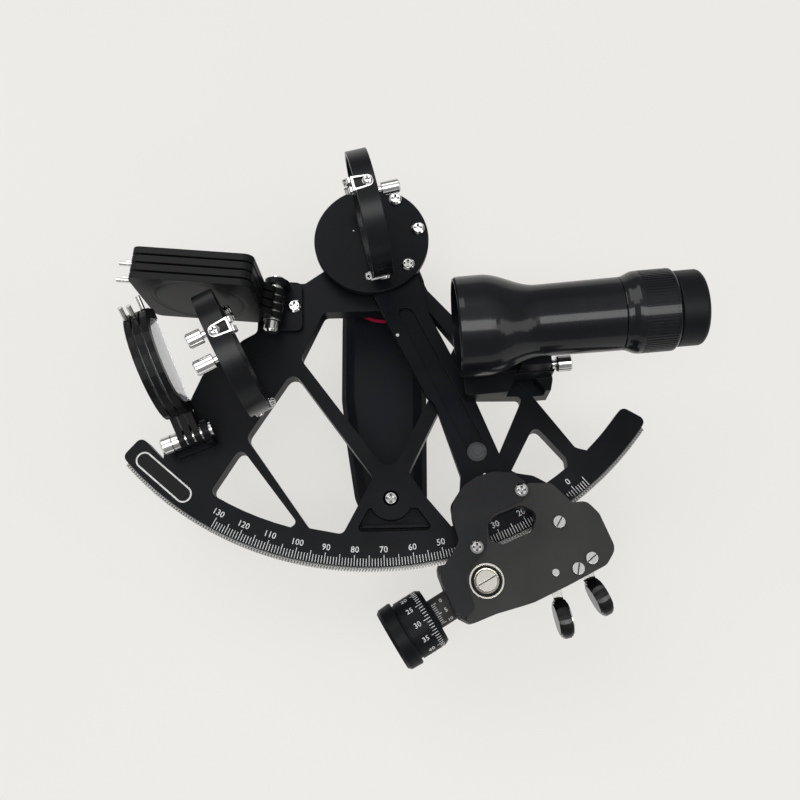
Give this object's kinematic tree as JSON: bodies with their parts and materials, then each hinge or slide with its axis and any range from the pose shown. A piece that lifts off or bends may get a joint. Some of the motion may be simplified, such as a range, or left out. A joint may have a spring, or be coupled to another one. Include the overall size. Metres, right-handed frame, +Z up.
{
  "type": "marine sextant",
  "caption": "Marine sextant lying face up: toothed arc and frame, swinging index arm with mirror and micrometer drum, horizon mirror, shades, telescope, handle and legs.",
  "frame": {"origin": "middle of the bounding box's footprint, on the plane that the feet stand on", "axes": "+Z up, out of the limb's face; +X towards the eyepiece side; +Y towards the index mirror; the arc is on the -Y side"},
  "size_m": [0.2687, 0.2355, 0.1355],
  "materials": {
    "frame_black": "satin black enamel on a light alloy casting",
    "arm_black": "satin black enamel",
    "cover_black": "satin grey-black enamel",
    "rack_steel": "blackened cut teeth",
    "bronze": "machined",
    "chrome": "bright plating",
    "pin_steel": "turned",
    "handle_plastic": "fine-grained dark blue-black moulding",
    "seal_red": "dull dark red",
    "cell": "plain wrapped cell",
    "foot_rubber": "matte",
    "plate_black": "thin bare plate with a pale rim",
    "shade_black": "satin black",
    "shade_glass": "neutral grey",
    "mirror": "front-facing silvered glass",
    "lens": "coated",
    "telescope_black": "semi-gloss black",
    "eyecup": "smooth",
    "drum_black": "satin with white graduations",
    "lamp_cap": "dark grey"
  },
  "bodies": {
    "frame": {"frame_casting": "frame_black", "arc_rack": "rack_steel", "pivot_bush": "bronze", "nose_plate": "plate_black", "legs": "frame_black", "feet": "foot_rubber", "handle_front": "handle_plastic", "handle_back": "handle_plastic", "handle_posts": "frame_black", "handle_cells": "cell", "lid_seal": "seal_red", "frame_screws": "chrome", "shade_pins": "chrome", "shade_washers": "pin_steel", "index_shade_bracket": "frame_black", "horizon_shade_bracket": "frame_black", "horizon_mirror_ring": "arm_black", "horizon_mirror_glass": "mirror", "horizon_mirror_clips": "chrome", "telescope_bracket": "frame_black"},
    "battery_lid": {"battery_lid": "handle_plastic"},
    "index_arm": {"index_arm": "arm_black", "mirror_table": "arm_black", "pivot_journal": "pin_steel", "journal_nut": "pin_steel", "index_mirror_ring": "arm_black", "index_mirror_glass": "mirror", "index_mirror_clips": "chrome", "arm_screws": "chrome", "scale_lamp": "lamp_cap", "micrometer_housing": "cover_black", "micrometer_cover": "cover_black", "housing_base": "cover_black", "carriage_pivot": "chrome", "fixed_lever": "pin_steel"},
    "index_adjuster": {"index_adjuster": "chrome"},
    "release_lever": {"release_lever": "pin_steel"},
    "worm_carriage": {"worm_carriage": "cover_black"},
    "worm_and_drum": {"worm_shaft": "bronze", "drum": "drum_black", "drum_knob": "drum_black"},
    "telescope": {"telescope_foot": "frame_black", "telescope_tube": "telescope_black", "objective_lens": "lens"},
    "focus_ring": {"focus_ring": "telescope_black"},
    "eyepiece": {"eyepiece_tube": "eyecup", "eye_lens": "lens"},
    "clamp_screw": {"clamp_screw": "chrome"},
    "horizon_adjuster_upper": {"horizon_adjuster_upper": "chrome"},
    "horizon_adjuster_lower": {"horizon_adjuster_lower": "chrome"},
    "index_shade_1": {"index_shade_1": "shade_black"},
    "index_shade_2": {"index_shade_2": "shade_black"},
    "index_shade_3": {"index_shade_3": "shade_black"},
    "index_shade_4": {"index_shade_4": "shade_black"},
    "horizon_shade_1": {"horizon_shade_1": "shade_black", "horizon_shade_glass_1": "shade_glass"},
    "horizon_shade_2": {"horizon_shade_2": "shade_black", "horizon_shade_glass_2": "shade_glass"},
    "horizon_shade_3": {"horizon_shade_3": "shade_black", "horizon_shade_glass_3": "shade_glass"}
  },
  "joints": [
    {"name": "index_arm_swing", "type": "hinge", "parent": "frame", "child": "index_arm", "pos_m": [-0.0161, 0.0891, 0.064], "axis": [0, 0, 1], "range_deg": [-51.5, 16]},
    {"name": "lever_squeeze", "type": "hinge", "parent": "index_arm", "child": "release_lever", "pos_m": [0.0679, -0.0759, 0.064], "axis": [0, 0, 1], "range_deg": [0, 8], "stiffness_Nm_per_rad": 0.4},
    {"name": "worm_release", "type": "hinge", "parent": "index_arm", "child": "worm_carriage", "pos_m": [0.03703, -0.07951, 0.064], "axis": [0, 0, 1], "range_deg": [-3, 0]},
    {"name": "drum_spin", "type": "hinge", "parent": "worm_carriage", "child": "worm_and_drum", "pos_m": [0.03703, -0.07951, 0.0574], "axis": [0.8536, 0.521, 0], "continuous": true},
    {"name": "index_shade_1_swing", "type": "hinge", "parent": "frame", "child": "index_shade_1", "pos_m": [-0.0631, 0.0618, 0.0725], "axis": [0.0837, 0.9965, 0], "range_deg": [0, 86]},
    {"name": "index_shade_2_swing", "type": "hinge", "parent": "frame", "child": "index_shade_2", "pos_m": [-0.0631, 0.0618, 0.0725], "axis": [0.0837, 0.9965, 0], "range_deg": [0, 86]},
    {"name": "index_shade_3_swing", "type": "hinge", "parent": "frame", "child": "index_shade_3", "pos_m": [-0.0631, 0.0618, 0.0725], "axis": [0.0837, 0.9965, 0], "range_deg": [0, 86]},
    {"name": "index_shade_4_swing", "type": "hinge", "parent": "frame", "child": "index_shade_4", "pos_m": [-0.0631, 0.0618, 0.0725], "axis": [0.0837, 0.9965, 0], "range_deg": [0, 86]},
    {"name": "horizon_shade_1_swing", "type": "hinge", "parent": "frame", "child": "horizon_shade_1", "pos_m": [-0.0958, -0.0104, 0.073], "axis": [0.9291, 0.3697, 0], "range_deg": [0, 80]},
    {"name": "horizon_shade_2_swing", "type": "hinge", "parent": "frame", "child": "horizon_shade_2", "pos_m": [-0.0958, -0.0104, 0.073], "axis": [0.9291, 0.3697, 0], "range_deg": [0, 80]},
    {"name": "horizon_shade_3_swing", "type": "hinge", "parent": "frame", "child": "horizon_shade_3", "pos_m": [-0.0958, -0.0104, 0.073], "axis": [0.9291, 0.3697, 0], "range_deg": [0, 80]},
    {"name": "telescope_slide", "type": "slide", "parent": "frame", "child": "telescope", "axis": [0.9965, 0.0837, 0], "range_m": [0, 0.005]},
    {"name": "focus_turn", "type": "hinge", "parent": "telescope", "child": "focus_ring", "pos_m": [0.0289, 0.0304, 0.104], "axis": [0.9965, 0.0837, 0], "range_deg": [0, 180]},
    {"name": "eyepiece_travel", "type": "slide", "parent": "telescope", "child": "eyepiece", "axis": [0.9965, 0.0837, 0], "range_m": [0, 0.004]},
    {"name": "clamp_turn", "type": "hinge", "parent": "frame", "child": "clamp_screw", "pos_m": [0.02986, 0.01894, 0.0744], "axis": [0.9965, 0.0837, 0], "range_deg": [0, 180]},
    {"name": "horizon_adjuster_upper_turn", "type": "hinge", "parent": "frame", "child": "horizon_adjuster_upper", "pos_m": [-0.07842, 0.02216, 0.126], "axis": [0.891, 0.454, 0], "range_deg": [-180, 180]},
    {"name": "horizon_adjuster_lower_turn", "type": "hinge", "parent": "frame", "child": "horizon_adjuster_lower", "pos_m": [-0.07297, 0.01147, 0.1245], "axis": [0.891, 0.454, 0], "range_deg": [-180, 180]},
    {"name": "index_adjuster_turn", "type": "hinge", "parent": "index_arm", "child": "index_adjuster", "pos_m": [-0.01545, 0.08638, 0.125], "axis": [-0.9724, -0.2334, 0], "range_deg": [-180, 180]},
    {"name": "lid_turn", "type": "hinge", "parent": "frame", "child": "battery_lid", "pos_m": [-0.0111, 0.0791, 0.035], "axis": [0, 0, 1], "range_deg": [0, 90]}
  ],
  "couplings": [
    {"joint": "worm_release", "follows": "lever_squeeze", "ratio": -0.375},
    {"joint": "focus_turn", "follows": "eyepiece_travel", "rad_per_m": 785.4}
  ]
}
